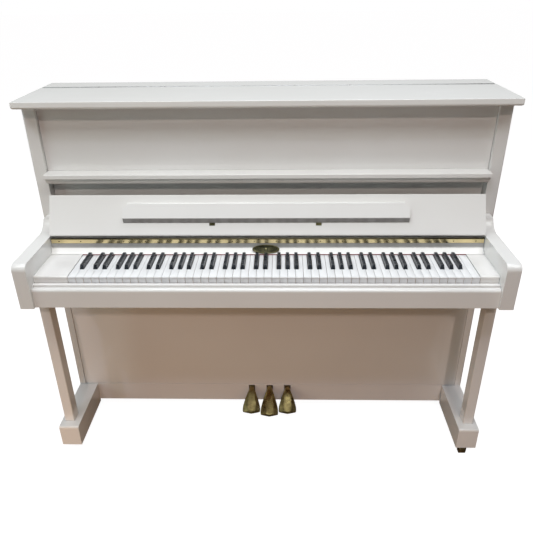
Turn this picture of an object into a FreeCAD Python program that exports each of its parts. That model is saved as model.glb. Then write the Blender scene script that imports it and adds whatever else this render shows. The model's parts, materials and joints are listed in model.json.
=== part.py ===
import FreeCAD, Part
import math
import os
import re
import Sketcher

# Upright piano, millimetres. X runs to the player's right, -Y is the front, +Z is up.
# The origin is on the floor, under the middle of the piano's bounding box.

os.makedirs("parts", exist_ok=True)
doc = FreeCAD.newDocument("upright_piano")
sheet = doc.addObject("Spreadsheet::Sheet", "Dims")
nodes = []


def dims(**values):
    """Write one named driving dimension per row of the sheet."""
    for alias, value in values.items():
        row = len(sheet.getUsedCells()) // 2 + 1
        sheet.set("A%d" % row, alias)
        sheet.set("B%d" % row, str(value))
        sheet.setAlias("B%d" % row, alias)


# case
dims(case_half=750, side_in=710, side_low_in=726, case_back=306, case_floor=30)
dims(side_front=12.5, side_low_front=21.7, side_round=5, play=0.3)
dims(lid_half=754, lid_front_y=-47.5, lid_seam_y=213, lid_back_y=313, lid_top=1202)
dims(lid_under=1181, lid_round=7, seam_gap=0.6, lid_pin_r=1.2, lid_pin_rise=0.2)
# arms, key blocks and the rails in front of the keys
dims(arm_in=693, arm_out=735, arm_front=-313, arm_base=650.5, arm_top=795.5)
dims(arm_step_top=828, arm_step_y=-28.7, arm_sweep_y=-82, arm_sweep_r=60, arm_nose_r=21)
dims(bed_top=690, bed_front=-288.5, bed_back=46, block_top=741, block_front=-272.5)
dims(fascia_front=-303, fascia_back=-289, fascia_top=712, fascia_round=9)
dims(slip_front=-288, slip_back=-276, slip_top=719.4)
# legs, toes, lower front
dims(leg_in=700, leg_out=734, leg_front=-199, leg_back=-154, toe_in=678, toe_out=748)
dims(toe_front=-230.5, toe_top=112.4, toe_base=28.6, toe_round=8)
dims(low_front=23.7, low_thick=18, low_base=114, low_top=648)
dims(rail_thick=22, rail_base=36, rail_top=113.4, board_top=56, board_back=225)
# upper front
dims(panel_front=28, panel_thick=18, panel_top=1178, shelf_front=-26, shelf_top=974)
dims(shelf_edge=14, shelf_half=707.5, cove_front=-20, cove_back=-10, cove_base=942, cove_r=19)
dims(recess_front=46.5, recess_back=62, recess_base=787)
# nameboard, hinge and fallboard; fallboard sizes are in its own upright frame
dims(name_half=692.4, name_top=786.5, name_face=-101.5, name_step=757, name_toe=-119)
dims(name_base=742, name_back=-78, felt_thick=2.9, ledge_thick=8)
dims(badge_long=87, badge_tall=29, badge_thick=2.6, badge_x=1.5, badge_y=-110.7, badge_z=756)
dims(badge_lean=32)
dims(hinge_y=-104, hinge_z=789.6, hinge_r=2.6, leaf_thick=1, leaf_low=773.8, lean=28.3)
dims(fall_half=691.3, fall_face=6, fall_rear=12, fall_low=8, fall_high=139, fall_nose=5)
dims(lip_near=12.6, lip_far=25.6, lip_low=60, lip_high=138.3, lip_mitre=9.2)
dims(desk_half=452.5, desk_low=50, desk_high=112, desk_near=6.5, desk_far=20, desk_round=16)
dims(desk_edge=4, desk_chamfer=12.8, desk_hinge_x=169, desk_hinge_half=9)
# keys
dims(key_left=-589.4, white_wide=23.56, octave=164.92, key_gap=0.45, key_front=-273)
dims(key_head=-220, key_rear=110, key_top=738.5, key_base=716.5, tail_three=14.136)
dims(tail_four=13.463, sharp_top=750.5, sharp_half=6.1, sharp_crown=4.7, sharp_rear=-121)
dims(sharp_slope=5.5, balance_y=-15)
# strung back
dims(string_y=168, string_r=0.6, bass_lift=3, string_top=1040, string_low=196, fan_rise=10.5)
dims(plate_front=175, plate_back=190, plate_low=165, plate_high=1168, plate_edge=40)
dims(window_low=192, window_high=1012, post_front=226, post_wide=80, beam_low=60, beam_tall=90)
dims(sound_front=198, sound_back=206, sound_low=160, sound_high=1004, rib_high=16, rib_wide=24)
dims(rib_low=200, rib_top=960, rib_left=-690, rib_slant=220, rib_pitch=141)
dims(note_pitch=13.92, bass_x=-589, pin_r=3.4, pin_front=132, pin_low=1052, pin_row=34, pin_shift=5)
dims(pin_left=-600, pin_pitch=16.56)
# action
dims(action_left=-616, action_right=664, action_front=66, cheek_thick=6, cheek_back=150)
dims(cheek_high=1030, rail_low=812, rail_high=836, rail_deep=18)
dims(hammer_front=86, hammer_low=840, hammer_neck=944, hammer_high=970, hammer_tip=127)
dims(hammer_wide=9, rest_front=70, rest_low=905, rest_high=925)
dims(damper_front=132, damper_low=826, damper_arm=840, damper_felt=884, damper_high=936)
dims(damper_wide=8, damper_face=164.2, muffler_y=148, muffler_top=1014, muffler_tall=28)
# pedals and castors
dims(pedal_pitch=70, pedal_mid_x=4.5, pedal_pivot_y=130, pedal_pivot_z=86, pedal_pin_r=4)
dims(pedal_tail=14, pedal_neck=10, pedal_flare=34, pedal_tip=-56, mid_reach=16, pedal_top=105)
dims(tip_clear=-100, slot_half=12.5, slot_low=62, slot_high=108, cheek_at=14.5, cheek_half=3, cheek_reach=12)
dims(castor_y=-205, castor_x=703, castor_r=12.5, castor_lead=16, castor_half=11, plate_r=22)
dims(castor_plate=2.4, rear_castor_x=640, rear_castor_y=262)
dims(rear_castor_r=22, axle_r=2.5, running=0.05)
doc.recompute()


def ref(expr):
    """Point the names in an expression at the sheet."""
    return re.sub(r"[a-z_]\w*", lambda m: "Dims." + m.group(0), expr)


def val(expr):
    """Value of an expression of sheet names."""
    return float(getattr(sheet.evalExpression(expr), "Value", sheet.evalExpression(expr)))


def plane(body, role):
    return next(o for o in body.Origin.OriginFeatures if o.Role == role)


def new_body(node):
    body = doc.addObject("PartDesign::Body", node)
    body.Label = node
    nodes.append(body)
    return body


def sketch_on(body, role, offset="0"):
    sk = body.newObject("Sketcher::SketchObject", body.Name + "_sketch")
    sk.AttachmentSupport = (plane(body, role), "")
    sk.MapMode = "FlatFace"
    sk.setExpression("AttachmentOffset.Base.z", ref("(%s)*1" % offset))
    return sk


def pin_down(sk, geo, pos, u, v):
    """Tie one sketch vertex to a pair of sheet expressions."""
    for kind, expr in (("DistanceX", u), ("DistanceY", v)):
        k = sk.addConstraint(Sketcher.Constraint(kind, -1, 1, geo, pos, val(expr)))
        sk.setExpression("Constraints[%d]" % k, ref(expr))


def outline(sk, points):
    """Closed outline through points (u, v) or (u, v, r): r bows the side that follows."""
    here = [FreeCAD.Vector(val(p[0]), val(p[1]), 0) for p in points]
    count = len(points)
    ends = []
    for i, p in enumerate(points):
        a, b = here[i], here[(i + 1) % count]
        if len(p) == 2:
            geo = sk.addGeometry(Part.LineSegment(a, b), False)
            ends.append((geo, 1, 2))
            continue
        bow = val(p[2])
        chord = b - a
        side = FreeCAD.Vector(-chord.y, chord.x, 0).normalize()
        half = chord.Length / 2
        rise = abs(bow) - math.sqrt(bow * bow - half * half)
        mid = (a + b) * 0.5 + side * math.copysign(rise, bow)
        arc = Part.Arc(a, mid, b)
        geo = sk.addGeometry(arc, False)
        forward = (sk.getPoint(geo, 1) - a).Length < 1e-6
        ends.append((geo, 1, 2) if forward else (geo, 2, 1))
        k = sk.addConstraint(Sketcher.Constraint("Radius", geo, abs(bow)))
        sk.setExpression("Constraints[%d]" % k, ref(p[2].lstrip("-")))
    for i, (geo, _start, end) in enumerate(ends):
        after, start, _end = ends[(i + 1) % count]
        sk.addConstraint(Sketcher.Constraint("Coincident", geo, end, after, start))
    for (geo, start, _end), p in zip(ends, points):
        pin_down(sk, geo, start, p[0], p[1])


def circle(sk, u, v, r):
    centre = FreeCAD.Vector(val(u), val(v), 0)
    geo = sk.addGeometry(Part.Circle(centre, FreeCAD.Vector(0, 0, 1), val(r)), False)
    pin_down(sk, geo, 3, u, v)
    k = sk.addConstraint(Sketcher.Constraint("Radius", geo, val(r)))
    sk.setExpression("Constraints[%d]" % k, ref(r))


def pad(body, sk, length):
    feature = body.newObject("PartDesign::Pad", body.Name + "_pad")
    feature.Profile = sk
    feature.setExpression("Length", ref("(%s)*1" % length))
    return feature


def cut(body, sk, length, reverse=False):
    feature = body.newObject("PartDesign::Pocket", body.Name + "_pocket")
    feature.Profile = sk
    feature.Reversed = reverse
    feature.setExpression("Length", ref("(%s)*1" % length))
    return feature


def repeat(body, features, span, count, axis="X_Axis"):
    pattern = body.newObject("PartDesign::LinearPattern", body.Name + "_pattern")
    pattern.Originals = features
    pattern.Direction = (plane(body, axis), [""])
    pattern.setExpression("Length", ref("(%s)*1" % span))
    pattern.Occurrences = count
    body.Tip = pattern
    return pattern


def block(body, x0, x1, y0, y1, z0, z1):
    """Box given by its six faces, padded up from a plan sketch."""
    sk = sketch_on(body, "XY_Plane", z0)
    outline(sk, [(x0, y0), (x1, y0), (x1, y1), (x0, y1)])
    return pad(body, sk, "(%s)-(%s)" % (z1, z0))


def extrusion(body, x0, x1, section):
    """Section in the YZ plane carried from x0 to x1."""
    sk = sketch_on(body, "YZ_Plane", x0)
    outline(sk, section)
    return pad(body, sk, "(%s)-(%s)" % (x1, x0))


def edges_at(feature, x=None, y=None, z=None, along=None):
    """Names of a feature's straight edges that lie at the given coordinates."""
    found = []
    want = (x, y, z)
    for i, edge in enumerate(feature.Shape.Edges):
        a, b = edge.Vertexes[0].Point, edge.Vertexes[-1].Point
        if along is not None and abs(abs(b["XYZ".index(along)] - a["XYZ".index(along)]) - edge.Length) > 0.01:
            continue
        if all(w is None or (abs(a[k] - val(w)) < 0.02 and abs(b[k] - val(w)) < 0.02) for k,
               w in enumerate(want)):
            found.append("Edge%d" % (i + 1))
    return found


def soften(body, feature, edges, radius, kind="Fillet"):
    doc.recompute()
    shaped = body.newObject("PartDesign::" + kind, body.Name + "_" + kind.lower())
    shaped.Base = (feature, [e for pick in edges for e in edges_at(feature, **pick)])
    shaped.setExpression("Radius" if kind == "Fillet" else "Size", ref("(%s)*1" % radius))
    body.Tip = shaped
    return shaped


def span(side, near, far):
    """X range between two distances from the middle, on the left (-1) or right (1)."""
    return ("-(%s)" % far, "-(%s)" % near) if side < 0 else (near, far)


SIDES = (("left", -1), ("right", 1))


def pin_hole(body, x0, x1, y, z, r):
    """Round hole along X through everything between x0 and x1."""
    sk = sketch_on(body, "YZ_Plane", x0)
    circle(sk, y, z, r)
    body.Tip = cut(body, sk, "(%s)-(%s)" % (x1, x0), reverse=True)


def rod(body, x0, x1, y, z, r):
    """Round bar along X from x0 to x1."""
    sk = sketch_on(body, "YZ_Plane", x0)
    circle(sk, y, z, r)
    body.Tip = pad(body, sk, "(%s)-(%s)" % (x1, x0))
    return body.Tip


def side_panels():
    for name, side in SIDES:
        body = new_body("side_panel_" + name)
        x0, x1 = span(side, "side_low_in", "case_half")
        extrusion(body, x0, x1, [
            ("side_low_front", "case_floor"), ("case_back", "case_floor"), ("case_back", "lid_under-play"),
            ("side_front", "lid_under-play"), ("side_front", "arm_base"), ("side_low_front", "arm_base")])
        x0, x1 = span(side, "side_in", "side_low_in")
        cheek = extrusion(body, x0, x1, [
            ("side_front", "arm_base"), ("case_back", "arm_base"), ("case_back", "lid_under-play"),
            ("side_front", "lid_under-play")])
        outer = "case_half" if side > 0 else "-case_half"
        soften(body, cheek, [dict(x=outer, y="side_front", along="Z"), dict(x=outer, y="side_low_front",
            along="Z")],
               "side_round")


def arms():
    for name, side in SIDES:
        body = new_body("arm_" + name)
        x0, x1 = span(side, "arm_in", "arm_out")
        arm = extrusion(body, x0, x1, [
            ("arm_front", "arm_base"), ("side_front-play", "arm_base"), ("side_front-play", "arm_step_top"),
            ("arm_step_y", "arm_step_top", "arm_sweep_r"), ("arm_sweep_y", "arm_top"), ("arm_front",
                "arm_top")])
        arm = soften(body, arm, [dict(y="arm_front", z="arm_top", along="X")], "arm_nose_r")
        soften(body, arm, [dict(x="arm_out*%d" % side, y="arm_front", along="Z")], "play*8")


def key_blocks():
    body = new_body("key_blocks")
    low = "bed_top+play"
    block(body, "-arm_in+play", "key_left-0.9", "block_front", "name_back", low, "block_top")
    right = block(body, "key_left+white_wide*52+0.9", "arm_in-play", "block_front", "name_back", low,
                  "block_top")
    soften(body, right, [dict(y="block_front", z="block_top", along="X")], "play*20")


def key_bed():
    body = new_body("key_bed")
    block(body, "-arm_in+play", "arm_in-play", "bed_front", "bed_back", "arm_base", "bed_top")


def key_bed_fascia():
    body = new_body("key_bed_fascia")
    board = extrusion(body, "-arm_in+play", "arm_in-play", [
        ("fascia_front", "arm_base"), ("fascia_back", "arm_base"), ("fascia_back", "fascia_top"),
        ("fascia_front", "fascia_top")])
    soften(body, board, [dict(y="fascia_front", z="fascia_top", along="X")], "fascia_round")


def key_slip():
    body = new_body("key_slip")
    rail = block(body, "-arm_in+play", "arm_in-play", "slip_front", "slip_back", "bed_top+play", "slip_top")
    soften(body, rail, [dict(y="slip_front", z="slip_top", along="X")], "play*5")


def legs():
    body = new_body("legs")
    column = None
    for _name, side in SIDES:
        x0, x1 = span(side, "leg_in", "leg_out")
        column = block(body, x0, x1, "leg_front", "leg_back", "toe_top+play", "arm_base-play")
    corners = [dict(x="%s*%d" % (x, side), y=y, along="Z")
               for x in ("leg_in", "leg_out") for y in ("leg_front", "leg_back") for side in (-1, 1)]
    soften(body, column, corners, "play*9")


def toes():
    for name, side in SIDES:
        body = new_body("toe_" + name)
        x0, x1 = span(side, "toe_in", "toe_out")
        toe = block(body, x0, x1, "toe_front", "side_low_front-play", "toe_base", "toe_top")
        soften(body, toe, [dict(y="toe_front", z="toe_top", along="X")], "toe_round")


def upper_panel():
    body = new_body("upper_panel")
    board = block(body, "-side_in+1", "side_in-1", "panel_front", "panel_front+panel_thick",
                  "shelf_top+play", "panel_top")
    soften(body, board, [dict(y="panel_front", z="panel_top", along="X")], "play*5")


def music_shelf():
    body = new_body("music_shelf")
    back = "panel_front+panel_thick"
    shelf = extrusion(body, "-shelf_half", "shelf_half", [
        ("shelf_front", "shelf_top-shelf_edge"), ("cove_front", "shelf_top-shelf_edge", "cove_r"),
        ("cove_back", "cove_base"), (back, "cove_base"), (back, "shelf_top"), ("shelf_front", "shelf_top")])
    soften(body, shelf, [dict(y="shelf_front", along="X")], "play*7")


def recess_board():
    body = new_body("recess_board")
    block(body, "-side_in+1", "side_in-1", "recess_front", "recess_back", "recess_base", "shelf_top-play")


def lower_panel():
    body = new_body("lower_panel")
    board = block(body, "-side_low_in+1", "side_low_in-1", "low_front", "low_front+low_thick",
                  "low_base", "low_top")
    soften(body, board, [dict(y="low_front", z="low_base", along="X")], "play*5")


def bottom_rail():
    body = new_body("bottom_rail")
    rail = block(body, "-side_low_in+1", "side_low_in-1", "low_front", "low_front+rail_thick",
                 "rail_base", "rail_top")
    soften(body, rail, [dict(y="low_front", z="rail_top", along="X")], "play*5")
    for k in (-1, 0, 1):
        middle = "pedal_mid_x+pedal_pitch*%d" % k
        sk = sketch_on(body, "XZ_Plane", "-low_front+1")
        left, right = middle + "-slot_half", middle + "+slot_half"
        outline(sk, [(left, "slot_low"), (right, "slot_low"), (right, "slot_high"), (left, "slot_high")])
        body.Tip = cut(body, sk, "rail_thick+3")


def bottom_board():
    body = new_body("bottom_board")
    front = "low_front+rail_thick+play"
    block(body, "-side_low_in+1", "side_low_in-1", front, "board_back", "rail_base", "board_top")
    for k in (-1, 0, 1):
        for side in (-1, 1):
            middle = "pedal_mid_x+pedal_pitch*%d+cheek_at*%d" % (k, side)
            block(body, middle + "-cheek_half", middle + "+cheek_half", "pedal_pivot_y-cheek_reach",
                  "pedal_pivot_y+cheek_reach", "board_top", "pedal_pivot_z+cheek_reach")
    pin_hole(body, "-side_low_in", "side_low_in", "pedal_pivot_y", "pedal_pivot_z", "pedal_pin_r+running")


def nameboard():
    """Board behind the keys with a thin ledge that closes the space back to the recess board."""
    body = new_body("nameboard")
    extrusion(body, "-name_half", "name_half", [
        ("name_toe", "name_base"), ("name_back", "name_base"), ("name_back", "name_top-ledge_thick"),
        ("recess_front-play", "name_top-ledge_thick"), ("recess_front-play", "name_top"),
        ("name_face", "name_top"), ("name_face", "name_step")])


def nameboard_felt():
    body = new_body("nameboard_felt")
    block(body, "key_left", "key_left+white_wide*52", "name_toe+0.5", "name_toe+14", "name_base-felt_thick",
          "name_base-0.05")


def name_badge():
    body = new_body("name_badge")
    sk = sketch_on(body, "XZ_Plane")
    long_half, tall_half = val("badge_long/2"), val("badge_tall/2")
    sk.addGeometry(Part.Ellipse(FreeCAD.Vector(0, 0, 0), long_half, tall_half), False)
    sk.exposeInternalGeometry(0)
    sk.addConstraint(Sketcher.Constraint("Coincident", 0, 3, -1, 1))
    sk.addConstraint(Sketcher.Constraint("Horizontal", 1))
    for axis, name, size in ((1, "badge_long", long_half), (2, "badge_tall", tall_half)):
        k = sk.addConstraint(Sketcher.Constraint("Distance", axis, size * 2))
        sk.setExpression("Constraints[%d]" % k, ref(name))
    body.Tip = pad(body, sk, "badge_thick")
    for along in "xyz":
        body.setExpression("Placement.Base." + along, ref("badge_%s*1" % along))
    body.Placement.Rotation = FreeCAD.Rotation(FreeCAD.Vector(1, 0, 0), -val("badge_lean"))


def fallboard_hinge():
    body = new_body("fallboard_hinge")
    rod(body, "-fall_half+1", "fall_half-1", "hinge_y", "hinge_z", "hinge_r")
    block(body, "-fall_half+1", "fall_half-1", "name_face-leaf_thick-0.1", "name_face-0.1",
          "leaf_low", "hinge_z-1")
    sk = sketch_on(body, "XZ_Plane", "-name_face+leaf_thick")
    circle(sk, "-fall_half+27", "leaf_low+6", "2.6")
    screw = pad(body, sk, "0.5")
    repeat(body, [screw], "70*19", 20)


def upright_frame(body):
    """Stand a hinged leaf's own frame on the fallboard hinge line, leaning back."""
    body.setExpression("Placement.Base.y", ref("hinge_y*1"))
    body.setExpression("Placement.Base.z", ref("hinge_z*1"))
    body.Placement.Rotation = FreeCAD.Rotation(FreeCAD.Vector(1, 0, 0), -val("lean"))


def fallboard():
    body = new_body("fallboard")
    board = extrusion(body, "-fall_half", "fall_half", [
        ("-fall_face", "fall_low"), ("fall_rear", "fall_low"), ("fall_rear", "fall_high"), ("-fall_face",
            "fall_high")])
    board = soften(body, board, [dict(y="-fall_face", z="fall_low", along="X")], "fall_nose")
    soften(body, board, [dict(y="-fall_face", z="fall_high", along="X")], "play*5")
    upright_frame(body)


def fallboard_lip():
    body = new_body("fallboard_lip")
    extrusion(body, "-fall_half", "fall_half", [
        ("lip_near", "lip_low"), ("lip_far", "lip_low"), ("lip_far", "lip_high-lip_mitre"), ("lip_near",
            "lip_high")])
    upright_frame(body)


def music_desk():
    body = new_body("music_desk")
    sk = sketch_on(body, "XZ_Plane", "desk_near")
    outline(sk, [
        ("-desk_half", "desk_low"), ("desk_half", "desk_low"), ("desk_half", "desk_high-desk_round",
                                                                "desk_round"),
        ("desk_half-desk_round", "desk_high"), ("-desk_half+desk_round", "desk_high", "desk_round"),
        ("-desk_half", "desk_high-desk_round")])
    board = pad(body, sk, "desk_far-desk_near")
    board = soften(body, board, [dict(y="-desk_far", z="desk_low", along="X")], "desk_chamfer", "Chamfer")
    soften(body, board, [dict(y="-desk_far", z="desk_high", along="X")], "desk_edge")
    upright_frame(body)


def music_desk_hinges():
    body = new_body("music_desk_hinges")
    for side in (-1, 1):
        middle = "desk_hinge_x*%d" % side
        left, right = middle + "-desk_hinge_half", middle + "+desk_hinge_half"
        block(body, left, right, "-fall_face-1.1", "-fall_face-0.1", "desk_low-9", "desk_low-2.6")
        rod(body, left, right, "-fall_face-1.7", "desk_low-2", "1.5")
    upright_frame(body)


def lid_rear():
    body = new_body("lid_rear")
    board = block(body, "-lid_half", "lid_half", "lid_seam_y+seam_gap+lid_pin_r", "lid_back_y",
                  "lid_under", "lid_top")
    soften(body, board, [dict(x="-lid_half", z="lid_under", along="Y"),
                         dict(x="lid_half", z="lid_under", along="Y")], "lid_round")


def lid_front():
    body = new_body("lid_front")
    board = block(body, "-lid_half", "lid_half", "lid_front_y", "lid_seam_y-seam_gap-lid_pin_r",
                  "lid_under", "lid_top")
    board = soften(body, board, [dict(y="lid_front_y", z="lid_under", along="X"),
                                 dict(x="-lid_half", z="lid_under", along="Y"),
                                 dict(x="lid_half", z="lid_under", along="Y")], "lid_round")
    soften(body, board, [dict(y="lid_front_y", z="lid_top", along="X")], "play*5")


def lid_hinge():
    body = new_body("lid_hinge")
    rod(body, "-lid_half+6", "lid_half-6", "lid_seam_y", "lid_top+lid_pin_rise", "lid_pin_r")
    body.Tip = block(body, "-lid_half+6", "lid_half-6", "lid_seam_y-0.5", "lid_seam_y+0.5",
                     "lid_under+3", "lid_top")


def back_frame():
    body = new_body("back_frame")
    half = "side_in-1"
    top = "lid_under-3-beam_tall-3"
    block(body, "-(%s)" % half, half, "post_front", "case_back", top, "lid_under-3")
    block(body, "-(%s)" % half, half, "post_front", "case_back", "beam_low", "beam_low+beam_tall")
    post = block(body, "-(%s)" % half, "-side_in+1+post_wide", "post_front", "case_back",
                 "beam_low+beam_tall", top)
    repeat(body, [post], "side_in*2-2-post_wide", 5)


def soundboard():
    """Panel with slanting ribs behind it and the two bridges in front."""
    body = new_body("soundboard")
    block(body, "-side_in+3", "side_in-3", "sound_front", "sound_back", "sound_low", "sound_high")
    sk = sketch_on(body, "XZ_Plane", "-sound_back-rib_high")
    outline(sk, [("rib_left", "rib_low"), ("rib_left+rib_wide", "rib_low"),
                 ("rib_left+rib_wide+rib_slant", "rib_top"), ("rib_left+rib_slant", "rib_top")])
    rib = pad(body, sk, "rib_high")
    repeat(body, [rib], "rib_pitch*8", 9)
    bridge = "sound_front-string_y-string_r*2"
    sk = sketch_on(body, "XZ_Plane", "-sound_front")
    outline(sk, [("bass_x+119", "string_low+104"), ("bass_x+339", "string_low+104"),
                 ("side_in-150", "sound_high-99"), ("side_in-150", "sound_high-59")])
    pad(body, sk, bridge)
    sk = sketch_on(body, "XZ_Plane", "-sound_front")
    outline(sk, [("-rib_high*4", "string_low+9"), ("side_in-290", "string_low+9"),
                 ("side_in-270", "string_low+44"), ("-rib_high*5", "string_low+44")])
    body.Tip = pad(body, sk, bridge)


def iron_plate():
    body = new_body("iron_plate")
    sk = sketch_on(body, "XZ_Plane", "-plate_back")
    left, right = "-side_in+4", "side_in-4"
    outline(sk, [(left, "plate_low"), (right, "plate_low"), (right, "plate_high"), (left, "plate_high")])
    left, right = left + "+plate_edge", right + "-plate_edge"
    outline(sk, [(left, "window_low"), (right, "window_low"), (right, "window_high"), (left,
        "window_high")])
    body.Tip = pad(body, sk, "plate_back-plate_front")


def sized_feature(name, solids):
    feature = doc.addObject("Part::Feature", name)
    feature.Shape = Part.makeCompound(solids)
    feature.Label = name
    nodes.append(feature)


PIN_ROWS, PINS_IN_ROW = 3, 75


def tuning_pins():
    """Three staggered rows of pins in the top of the plate."""
    pins = []
    back = FreeCAD.Vector(0, 1, 0)
    long = val("plate_front-pin_front-0.2")
    for row in range(PIN_ROWS):
        for number in range(PINS_IN_ROW):
            x = val("pin_left+pin_pitch*%d+pin_shift*%d" % (number, row))
            head = FreeCAD.Vector(x, val("pin_front"), val("pin_low+pin_row*%d" % row))
            pins.append(Part.makeCylinder(val("pin_r"), long, head, back))
    sized_feature("tuning_pins", pins)


NOTES, BASS_NOTES = 88, 28


def strings():
    """One speaking length for each note: long bass wires over the rest, then a rising fan."""
    wires = []
    for note in range(NOTES):
        x = val("bass_x+note_pitch*%d" % note)
        if note < BASS_NOTES:
            foot = FreeCAD.Vector(x + 54 - note * 0.9, val("string_y-bass_lift"), val("string_low"))
        else:
            over = note - BASS_NOTES
            low = val("string_low+fan_rise*%d" % over)
            foot = FreeCAD.Vector(x - 21 - over * 0.42, val("string_y"), low)
        top = FreeCAD.Vector(x, foot.y, val("string_top"))
        wires.append(Part.makeCylinder(val("string_r"), (foot - top).Length, top, foot - top))
    sized_feature("strings", wires)


def key_frame():
    body = new_body("key_frame")
    left, right = "key_left+2", "key_left+white_wide*52-2"
    low = "bed_top+play"
    block(body, left, right, "key_front+16", "key_front+70", low, "key_base-12")
    block(body, left, right, "balance_y-22", "balance_y+22", low, "key_base-4")
    rod(body, left, right, "balance_y", "key_base-4.2", "3.6")
    block(body, left, right, "bed_back-16", "bed_back-2", low, "key_base-4")


WHITE_TAILS = {
    "c": (0, "0", "tail_three"), "d": (1, "tail_three*2", "tail_three*3"), "e": (2, "tail_three*4",
        "white_wide*3"),
    "f": (3, "white_wide*3", "white_wide*3+tail_four"),
    "g": (4, "white_wide*3+tail_four*2", "white_wide*3+tail_four*3"),
    "a": (5, "white_wide*3+tail_four*4", "white_wide*3+tail_four*5"),
    "b": (6, "white_wide*3+tail_four*6", "white_wide*7"),
}
SHARP_STARTS = {
    "c_sharp": ("tail_three", "tail_three"), "d_sharp": ("tail_three*3", "tail_three"),
    "f_sharp": ("white_wide*3+tail_four", "tail_four"), "g_sharp": ("white_wide*3+tail_four*3",
                                                                    "tail_four"),
    "a_sharp": ("white_wide*3+tail_four*5", "tail_four"),
}
# The lowest octave starts five white keys left of the first key, which is an A.
LOW_C = "key_left-white_wide*5"
# The first and last keys have no black neighbour on their outer side.
END_KEYS = {
    "a": (LOW_C, 5, "white_wide*5", "white_wide*3+tail_four*5"),
    "c": (LOW_C + "+octave*8", 0, "0", "white_wide"),
}


def white_outline(sk, origin, index, tail0, tail1):
    head0 = "%s+white_wide*%d+key_gap" % (origin, index)
    head1 = "%s+white_wide*%d-key_gap" % (origin, index + 1)
    tail0 = "%s+%s+key_gap" % (origin, tail0)
    tail1 = "%s+%s-key_gap" % (origin, tail1)
    points = [(head0, "key_front"), (head1, "key_front")]
    if abs(val(head1) - val(tail1)) > 0.2:
        points += [(head1, "key_head"), (tail1, "key_head")]
    points += [(tail1, "key_rear"), (tail0, "key_rear")]
    if abs(val(head0) - val(tail0)) > 0.2:
        points += [(tail0, "key_head"), (head0, "key_head")]
    outline(sk, points)


def white_keys():
    for letter, (index, tail0, tail1) in WHITE_TAILS.items():
        body = new_body("keys_" + letter)
        high = "key_top-key_base"
        origin = LOW_C if letter == "b" else LOW_C + "+octave"
        sk = sketch_on(body, "XY_Plane", "key_base")
        white_outline(sk, origin, index, tail0, tail1)
        key = pad(body, sk, high)
        count = 8 if letter == "b" else 7
        repeat(body, [key], "octave*%d" % (count - 1), count)
        if letter in END_KEYS:
            sk = sketch_on(body, "XY_Plane", "key_base")
            white_outline(sk, *END_KEYS[letter])
            body.Tip = pad(body, sk, high)


def black_keys():
    for name, (start, wide) in SHARP_STARTS.items():
        body = new_body("keys_" + name)
        low_sharp = name == "a_sharp"
        origin = LOW_C if low_sharp else LOW_C + "+octave"
        middle = "%s+%s+%s/2" % (origin, start, wide)
        stick = block(body, middle + "-sharp_half", middle + "+sharp_half", "key_head+1", "key_rear",
                      "key_base", "key_top")
        low = sketch_on(body, "XY_Plane", "key_top")
        outline(low, [(middle + "-sharp_half", "key_head+1"), (middle + "+sharp_half", "key_head+1"),
                      (middle + "+sharp_half", "sharp_rear"), (middle + "-sharp_half", "sharp_rear")])
        crown = sketch_on(body, "XY_Plane", "sharp_top")
        front = "key_head+1+sharp_slope"
        outline(crown, [(middle + "-sharp_crown", front), (middle + "+sharp_crown", front),
                        (middle + "+sharp_crown", "sharp_rear"), (middle + "-sharp_crown", "sharp_rear")])
        cap = body.newObject("PartDesign::AdditiveLoft", body.Name + "_cap")
        cap.Profile = low
        cap.Sections = [crown]
        cap.Ruled = True
        count = 8 if low_sharp else 7
        repeat(body, [stick, cap], "octave*%d" % (count - 1), count)


def action_frame():
    body = new_body("action_frame")
    block(body, "action_left", "action_right", "action_front", "action_front+rail_deep", "rail_low",
          "rail_high")
    cheek = "action_front+cheek_reach*2.5"
    for x in ("action_left-cheek_thick", "action_right-cheek_thick"):
        body.Tip = extrusion(body, x, x + "+cheek_thick", [
            ("action_front", "bed_top+play"), (cheek, "bed_top+play"), (cheek, "rail_low-52"),
            ("cheek_back", "rail_low-12"), ("cheek_back", "cheek_high"), ("cheek_back-20", "cheek_high"),
            ("action_front", "cheek_high-130")])


def hammers():
    """Hammer heads on their shanks, with the rest rail in front of them."""
    body = new_body("hammers")
    block(body, "bass_x-21", "bass_x+note_pitch*87+30", "rest_front", "rest_front+10", "rest_low",
          "rest_high")
    shank = "hammer_front+9"
    hammer = extrusion(body, "bass_x-hammer_wide/2", "bass_x+hammer_wide/2", [
        ("hammer_front", "hammer_low"), (shank, "hammer_low"), (shank + "+6", "hammer_neck"),
        ("hammer_tip-5", "hammer_neck+4"), ("hammer_tip", "hammer_neck+13"), ("hammer_tip-5",
            "hammer_high-4"),
        (shank + "+5", "hammer_high"), ("hammer_front+4", "hammer_high-6"), ("hammer_front+8",
            "hammer_neck+2")])
    repeat(body, [hammer], "note_pitch*87", NOTES)


DAMPED_NOTES = 67


def dampers():
    """Damper felts on bent wires, all on one lifting rail."""
    body = new_body("dampers")
    wire = "damper_front+6"
    heel = "damper_front+18"
    damper = extrusion(body, "bass_x-damper_wide/2", "bass_x+damper_wide/2", [
        ("damper_front", "damper_arm"), (wire, "damper_arm"), (heel, "damper_felt+6"), (heel,
            "damper_felt"),
        ("damper_face", "damper_felt"), ("damper_face", "damper_high"), (heel, "damper_high"),
        (heel, "damper_felt+16"), (heel + "-6", "damper_felt+16")])
    repeat(body, [damper], "note_pitch*66", DAMPED_NOTES)
    body.Tip = block(body, "bass_x-11", "bass_x+note_pitch*67", "damper_front", wire, "damper_low",
                     "damper_arm")


def muffler_rail():
    """Thin strip with a felt hanging from it, above the hammer line."""
    body = new_body("muffler_rail")
    strip = "muffler_y+3"
    block(body, "bass_x-11", "bass_x+note_pitch*87+18", "muffler_y", strip, "muffler_top-14", "muffler_top")
    body.Tip = block(body, "bass_x-7", "bass_x+note_pitch*87+14", strip, strip + "+2",
                     "muffler_top-muffler_tall", "muffler_top-2")


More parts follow.
